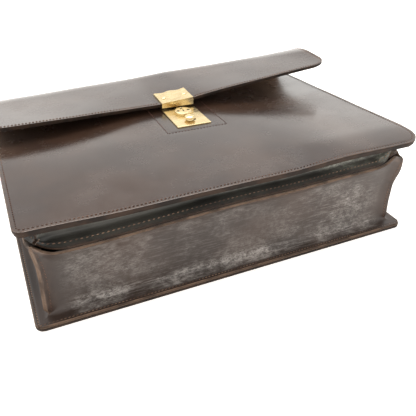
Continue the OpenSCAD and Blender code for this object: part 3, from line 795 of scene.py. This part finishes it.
def border_path():
    """Round the front panel: down the left side, along the bottom and up the right."""
    inset = stitch_inset
    left_r, right_r = (front_corner_r[s] - inset for s in (-1, 1))
    left = arc((-half_w + inset + left_r, inset + left_r), left_r, 180, 270, 8)
    right = arc((half_w - inset - right_r, inset + right_r), right_r, 270, 360, 12)
    down = [(-half_w + inset, v) for v in np.linspace(front_h - 4, left[0][1], 30)]
    along = [(x, inset) for x in np.linspace(left[-1][0], right[0][0], 40)]
    rise = [(half_w - inset, v) for v in np.linspace(right[-1][1], front_h - 4, 30)]
    path = np.concatenate([down, left, along, right, rise])
    return np.column_stack([path, front_top(path[:, 0], path[:, 1]) + 0.2])


def on_panel(start, end):
    """A straight line of thread on the front panel."""
    x, v = np.linspace(start, end, 20).T
    return np.column_stack([x, v, front_top(x, v) + 0.1])


build_front_panel()
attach(stitches("front_border_stitches", [border_path()], (0, 0, 1)), "front")
left, right = -rectangle_half, rectangle_half
corners = [(left, rectangle_top), (left, rectangle_v), (right, rectangle_v), (right, rectangle_top)]
sides = [on_panel(*corners[k:k + 2]) for k in range(3)]
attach(stitches("lock_rectangle_stitches", sides, (0, 0, 1), dark_thread, radius=0.3), "front")


def flat_sheet(node, thickness, flip=False, follow=None, skip=None):
    """A lining laid flat, following the surface that it is glued to. With flip it faces down."""
    low, high = span_of(node)
    x, v = np.meshgrid(np.linspace(low[0], high[0], 40), np.linspace(low[1], high[1], 30))
    rise = follow(x, v) if follow else 0 * x
    grid = np.stack([x, v, rise + (low[2] if flip else high[2])], axis=2)
    lining = sheet(node + "_leather", grid, thickness, lining_looks, flip, edge=0.25, skip=skip)
    rides(lining, node)


def over_patch(x, v):
    """Where the lining leaves room for the patch under the lock."""
    room = 3
    in_x = patch_low[0] - room < x < patch_high[0] + room
    return in_x and patch_low[1] - room < v < patch_high[1] + room


def under_box(x, v):
    """Where the lock case goes through the patch."""
    return abs(x) < 14.5 and lock_v < v < lock_v + 76


patch_low, patch_high = span_of("lock_patch")
flat_sheet("back_lining", lining_t)
flat_sheet("front_lining", lining_t, True, front_rise, over_patch)
flat_sheet("lock_patch", patch_high[2] - patch_low[2], True, front_rise, under_box)

divider_corner_r = 18.0


def build_divider():
    """The sheet between the two gussets, sewn into the ridge and lifted with it at its corners."""
    hidden = ridge_edge + 5
    close_rows = hidden + np.array([0, 2, 5, 9, 14, 20, 27])
    v_steps = np.concatenate([close_rows, np.linspace(42, divider_high[1], 30)])
    reach = half_w - hidden
    rim = np.array([0, 3, 8])
    x_steps = np.concatenate([rim - reach, np.linspace(-reach + 15, reach - 15, 44), reach - rim[::-1]])
    x, v = np.meshgrid(x_steps, v_steps)
    outward = np.sign(x) * hidden
    x, v = rounded_off(x + outward, v - hidden, divider_corner_r)
    x, v = x - outward, v + hidden
    a = half_w - np.abs(x)
    far, near = np.maximum(a, v), np.minimum(a, v)
    lift = np.where(x > 0, ridge_lift(1, far), ridge_lift(-1, far)) * (1 - smooth(near, 8, 44))
    grid = np.stack([x, v, divider_z + divider_t + lift], axis=2)
    divider = sheet("divider_leather", grid, divider_t, (lining_face, lining_face, cut_edge), edge=0.4)
    rides(divider, "divider")


build_divider()

# ---------------- back, top strip and flap

join_z = 33.0           # the back's leather meets the flap's here, half way up the top strip
bend_r = 8.0
hasp_flat = 20.0        # half width of the stretch of flap that lies flat under the hasp
flap_tilt = 0.07        # that stretch rises this much for every millimetre to the right
flap_edge_v = 178.0     # the free edge at the lock
flap_edge_z = 114.3
edge_lift = 20.4        # the free edge is this much higher at the right end
left_edge_lift = 7.6    # and this much higher at the left end,
left_edge_draw = 18.0   # where it reaches this much further towards the bottom edge
crest_v = 261.0         # the crest, behind the lock
crest_z = 117.6
crest_lift = 19.2       # the crest is this much higher at the right end
crest_drop = 2.0        # and this much lower at the left end
right_shift = 37.0      # the crest runs this much nearer the free edge at the right end
left_shift = 24.0
edge_power = 0.85       # how the free edge's lift grows towards the right end
lift_power = 1.5        # how the crest's lift and shift grow towards it
rise_power = 1.2        # how the flap rises from its free edge to the crest
squareness = 2.1        # exponent of the superellipse of the bend over the top
flap_corner_r = 20.0
flap_t = 3.0
flap_spread = 0.025     # the free part is cut this much wider than the case, as a share of its width


def build_back():
    """The back's leather, which turns up into the top strip."""
    v_steps = np.concatenate([[0, 1, 2.5, 5, 8, 12], np.linspace(20, case_h - bend_r, 30)])
    rim = np.array([0, 1.5, 4])
    x_steps = np.concatenate([rim - half_w, np.linspace(9 - half_w, half_w - 9, 40), half_w - rim[::-1]])
    flat = panel_grid(v_steps, x_steps, corner_r, corner_r)
    bend = arc((case_h - bend_r, bend_r), bend_r, -90, 0, 9)[1:]
    rise = [(case_h, z) for z in np.linspace(bend_r, join_z, 8)[1:]]
    up = [[(x, v, z) for x in x_steps] for v, z in list(bend) + rise]
    grid = np.concatenate([flat, np.array(up)])
    leather = sheet("back_leather", grid, panel_t, outer_looks, True, edge=0.8)
    paint(leather, "bloom_and_highlight", even(0.12))
    paint(leather, "wear", lambda x, v, z: 0.6 * np.exp(-np.minimum(half_w - np.abs(x), v)))
    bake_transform(leather)
    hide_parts("back_panel")


def flap_section(x):
    """The flap's outer face across one station, from the top strip over the bend to the free edge."""
    along = max(0, abs(x) - hasp_flat) / (half_w - hasp_flat)
    tilt = flap_tilt * max(-hasp_flat, min(hasp_flat, x))
    edge_z = flap_edge_z + tilt
    top_z = crest_z + tilt
    top_v = crest_v
    free_v = flap_edge_v
    if x > 0:
        edge_z += edge_lift * along ** edge_power
        top_z += crest_lift * along ** lift_power
        top_v -= right_shift * along ** lift_power
    else:
        top_z -= crest_drop * along
        top_v -= left_shift * along
        edge_z += left_edge_lift * along
        free_v -= left_edge_draw * along
    edge_v = free_v + corner_cut(flap_corner_r, half_w - abs(x))
    path = [(case_h, z) for z in np.linspace(join_z, fold_z - 3, 6)]
    for turn in np.radians(np.linspace(0, 90, 22)):
        out = math.cos(turn) ** (2 / squareness)
        up = math.sin(turn) ** (2 / squareness)
        path.append((top_v + (case_h - top_v) * out, fold_z + (top_z - fold_z) * up))
    for t in np.concatenate([np.linspace(0, 0.96, 24)[1:], [0.975, 0.99, 1.0]]):
        v = top_v + (edge_v - top_v) * t
        path.append((v, top_z - (top_z - edge_z) * ((top_v - v) / (top_v - free_v)) ** rise_power))
    return np.array(path)


def flap_grid(depth, start):
    """The flap's stations from one side to the other, at a depth below its outer face.
    Each begins at point number start of its section."""
    inner = half_w - flap_corner_r
    rounding = flap_corner_r * np.sin(np.radians(np.linspace(90, 15, 6)))
    x_steps = np.concatenate([-inner - rounding, np.linspace(-inner, inner, 60), inner + rounding[::-1]])
    columns = []
    for x in x_steps:
        path = flap_section(x)[start:]
        way = np.gradient(path, axis=0)
        way /= np.linalg.norm(way, axis=1, keepdims=True)
        path = path + depth * np.stack([-way[:, 1], way[:, 0]], axis=1)
        columns.append([(x * (1 + flap_spread * smooth(case_h - v, 10, 60)), v, z) for v, z in path])
    return np.transpose(np.array(columns), (1, 0, 2))


def flap_wear(x, v, z):
    """Rubbed along the free edge and, faintly, along the sides."""
    free_v = flap_edge_v - left_edge_draw * np.maximum(0, -x - hasp_flat) / (half_w - hasp_flat)
    edge = np.exp(-np.abs(v - free_v) / 1.6) * (z > case_t - 4)
    sides = np.exp(-np.maximum(0, half_w - np.abs(x)) / 1.5)
    return np.maximum(0.8 * edge, 0.4 * sides)


def build_flap():
    """The flap, flat under the hasp and a little uneven elsewhere, with its stitches and its lining."""
    outer = flap_grid(0, 0)
    from_hasp = np.hypot(outer[:, :, 0], outer[:, :, 1] - flap_edge_v - 12)
    calm = smooth(from_hasp, 26, 60) * smooth(outer[:, :, 2], fold_z - 3, fold_z + 12)
    outer = rippled(outer, 0.5 * calm, 60, 1.7)
    leather = sheet("flap_leather", outer, flap_t, outer_looks, True, edge=0.8)
    paint(leather, "bloom_and_highlight", even(0.12))
    paint(leather, "wear", flap_wear)
    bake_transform(leather)
    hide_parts("flap_top", "flap_front")
    stitch_row = -4
    stitch_column = 2
    crest_row = 20
    hem = outer[stitch_row, stitch_column:-stitch_column] + [0, 0, 0.15]
    paths = [outer[crest_row:stitch_row + 1, column] for column in (stitch_column, -1 - stitch_column)]
    paths += [hem[hem[:, 0] < -hasp_flat], hem[hem[:, 0] > hasp_flat]]
    hem_thread = stitches("flap_border_stitches", paths, (0, 0, 1))
    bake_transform(hem_thread)
    glue = 0.05         # the lining lies this far below the leather
    lining_row = 7      # and starts just above the top strip
    inner = flap_grid(flap_t + glue, lining_row)
    inner[:, :, 0] *= (half_w - 2) / half_w
    looks = (flesh, lining_face, cut_edge)
    lining = sheet("flap_lining_leather", inner[:-1], lining_t, looks, True, edge=0.25)
    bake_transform(lining)
    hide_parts("flap_lining")


def build_strip_lining():
    low, high = span_of("flap_top_lining")
    x, z = np.meshgrid(np.linspace(low[0], high[0], 40), np.linspace(low[2] + 3, high[2], 12))
    grid = np.stack([x, low[1] + 0 * x, z], axis=2)
    lining = sheet("flap_top_lining_leather", grid, lining_t, lining_looks, edge=0.25)
    rides(lining, "flap_top_lining")


build_back()
build_flap()
build_strip_lining()

# ---------------- handle

handle_half, pivot_v, pivot_z = (np.array(pin_low) + pin_high) / 2
grip_z = 12.0
grip_end_r = 5.4        # the grip's half thickness at its ends
grip_gain_y = 2.1       # what it gains in the middle, outwards and upright
grip_gain_z = 4.1
seam_share = 0.10       # the seam stands out by this share of the half thickness
ring_points = 24


def build_grip():
    """A rolled leather grip, full in the middle, with its seam standing along the underside."""
    start_z = pivot_z - 8
    corner = [(handle_half, start_z - 6), (handle_half, grip_z + 3)]
    half = bezier(*corner, (handle_half - 14, grip_z), (handle_half - 40, grip_z), 16)
    end = np.array([[handle_half, start_z]])
    mirror = [-1, 1]
    line = np.concatenate([end, half, (half * mirror)[::-1], end * mirror])
    ahead = np.gradient(line, axis=0)
    ahead /= np.linalg.norm(ahead, axis=1, keepdims=True)
    rings, seam = [], []
    for (x, z), (wx, wz) in zip(line, ahead):
        full = min(1, (start_z - z) / (start_z - grip_z))
        ry = grip_end_r + full * grip_gain_y
        rz = grip_end_r + full * grip_gain_z
        ring = []
        for k in range(ring_points):
            turn = 2 * math.pi * k / ring_points
            ridge = 1 + seam_share * math.exp(-((k - ring_points / 2) / 1.1) ** 2)
            out = ry * ridge * math.cos(turn)
            up = rz * math.sin(turn)
            ring.append((x - up * wz, pivot_v + out, z + up * wx))
        rings.append(ring)
        seam.append((x, pivot_v - ry * (1 + seam_share), z))
    grip = tube("handle_grip", rings, (panel_face,))
    paint(grip, "bloom_and_highlight", even(0.15))
    paint(grip, "wear", lambda x, v, z: 0.35 * smooth(pivot_v - 4 - v, 0, 3))
    rides(grip, "handle_cover")
    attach(stitches("grip_stitches", [seam[1:-1]], (0, -1, 0), length=2.6), "handle")


def build_handle_patch():
    """The patch under the handle's plates, rounded at its four corners and sewn all round."""
    low, high = span_of("handle_patch")
    r = 6.0
    steps = np.array([0, 0.8, 2, 4, r])
    rows = []
    for z in np.concatenate([low[2] + steps, high[2] - steps[::-1]]):
        rim = min(z - low[2], high[2] - z)
        cut = corner_cut(r, rim)
        left_end = np.linspace(low[0] + cut, low[0] + r + 1, 5)
        right_end = np.linspace(high[0] - r - 1, high[0] - cut, 5)
        x = np.concatenate([left_end, np.linspace(low[0] + r + 8, high[0] - r - 8, 30), right_end])
        rows.append(np.stack([x, np.full(len(x), high[1]), np.full(len(x), z)], axis=1))
    patch = sheet("handle_patch_leather", np.array(rows), high[1] - low[1], outer_looks, True, edge=0.6)
    paint(patch, "bloom_and_highlight", even(0.12))
    paint(patch, "wear", lambda x, v, z: 0.5 * np.exp(-np.minimum(z - low[2], high[2] - z) / 1.2))
    rides(patch, "handle_patch")
    inset = 3.0
    left, right = low[0] + inset, high[0] - inset
    under, over = low[2] + inset, high[2] - inset
    corners = [(left, under), (right, under), (right, over), (left, over), (left, under)]
    loop = [(x, high[1] + 0.1, z) for x, z in corners]
    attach(stitches("patch_stitches", [loop[k:k + 2] for k in range(4)], (0, 1, 0)), "top_strip")


build_grip()
build_handle_patch()

# ---------------- metalwork

rose_v = (rose_low[1] + rose_high[1]) / 2
dimple_inner_r = 3.8    # the hollows lie in this ring round the key
dimple_outer_r = 8.3
keyhole_r = 3.2


def in_dimple(x, v, z):
    """Inside one of the hollows in the escutcheon's face."""
    return z < rose_high[2] - 0.4 and dimple_inner_r < math.hypot(x, v - rose_v) < dimple_outer_r


def in_keyhole(x, v, z):
    return case_t + 1 < z < plug_high[2] - 0.3 and math.hypot(x, v - rose_v) < keyhole_r


def recolour(nodes, look):
    """The hidden metal keeps the CAD's shapes and takes the finish of the rest."""
    for node in nodes:
        for used in frame["nodes"][node].material_slots:
            used.material = look


# The escutcheon's hollows and the keyhole take the dark patina: real patina and painted shade together.
refined("key_escutcheon", brass, recess=in_dimple)
refined("key_plug", brass, 0.15, in_keyhole)
for node in ["lock_plate", "lock_knob", "hasp_plate", "hasp_rivets"]:
    refined(node, brass)
for part in ["handle_plate", "handle_eye"]:
    refined(part + "_left", brass)
    refined(part + "_right", brass)
refined("handle_rivets", brass)
for node in ["handle_pin_left", "handle_pin_right"]:
    refined(node, steel, 0.2)
recolour(["hasp_tongue", "lock_rivets"], brass)
recolour(["lock_case", "lock_bolt", "lock_backing_plate", "key_cam", "hasp_backing_plate"], steel)
recolour(["handle_backing_left", "handle_backing_right", "handle_core"], steel)

# ---------------- floor, light and camera


def build_floor():
    size = 6.0
    count = 25
    below = 0.0002          # metres, so that the floor and the back's leather don't share a plane
    steps = np.linspace(-size / 2, size / 2, count)
    points = [(x, y, -below) for y in steps for x in steps]
    faces = [grid_face(r, c, count) for r in range(count - 1) for c in range(count - 1)]
    mesh = bpy.data.meshes.new("floor")
    mesh.from_pydata(points, [], faces)
    mesh.materials.append(make_floor())
    floor = bpy.data.objects.new("floor", mesh)
    bpy.context.collection.objects.link(floor)


def area_light(name, at, aim, size, power):
    data = bpy.data.lights.new(name, "AREA")
    data.shape = "RECTANGLE"
    data.size, data.size_y = size
    data.energy = power
    lamp = bpy.data.objects.new(name, data)
    bpy.context.collection.objects.link(lamp)
    lamp.location = at
    lamp.rotation_euler = (Vector(aim) - Vector(at)).to_track_quat("-Z", "Y").to_euler()


def build_world():
    """A white room: bright low down, softer overhead."""
    world = bpy.data.worlds.new("studio")
    world.use_nodes = True
    bpy.context.scene.world = world
    nodes, links = world.node_tree.nodes, world.node_tree.links
    ground = nodes["Background"]
    place_at = nodes.new("ShaderNodeTexCoord")
    parts = nodes.new("ShaderNodeSeparateXYZ")
    height = nodes.new("ShaderNodeMapRange")
    shade = nodes.new("ShaderNodeMix")
    shade.data_type = "RGBA"
    links.new(place_at.outputs["Generated"], parts.inputs[0])
    links.new(parts.outputs["Z"], height.inputs["Value"])
    height.inputs["From Min"].default_value = 0.32
    height.inputs["From Max"].default_value = 0.52
    links.new(height.outputs["Result"], shade.inputs[0])
    shade.inputs[6].default_value = (1.3, 1.27, 1.22, 1)
    shade.inputs[7].default_value = (0.68, 0.665, 0.65, 1)
    links.new(shade.outputs[2], ground.inputs["Color"])
    ground.inputs["Strength"].default_value = 1.4


def build_camera():
    """The photograph's view: from beyond the bottom edge, to the left, looking down by about 34 degrees."""
    data = bpy.data.cameras.new("camera")
    data.sensor_width = 36.0
    data.lens = 42.6
    data.clip_start = 0.01
    camera = bpy.data.objects.new("camera", data)
    bpy.context.collection.objects.link(camera)
    right = Vector((0.9099, -0.4144, 0.0170))
    back = -Vector((0.3540, 0.7545, -0.5526))
    up = back.cross(right)
    turn = Matrix((right.normalized(), up.normalized(), back.normalized())).transposed()
    spot = place((-192.7, -321.1, 322.7))
    camera.matrix_world = Matrix.Translation(spot) @ turn.to_4x4()
    bpy.context.scene.camera = camera


build_floor()
build_world()
area_light("softbox", (0.0, 0.75, 1.75), (0, 0, 0.1), (1.9, 1.0), 30)
build_camera()
bpy.context.scene.view_settings.view_transform = "Standard"
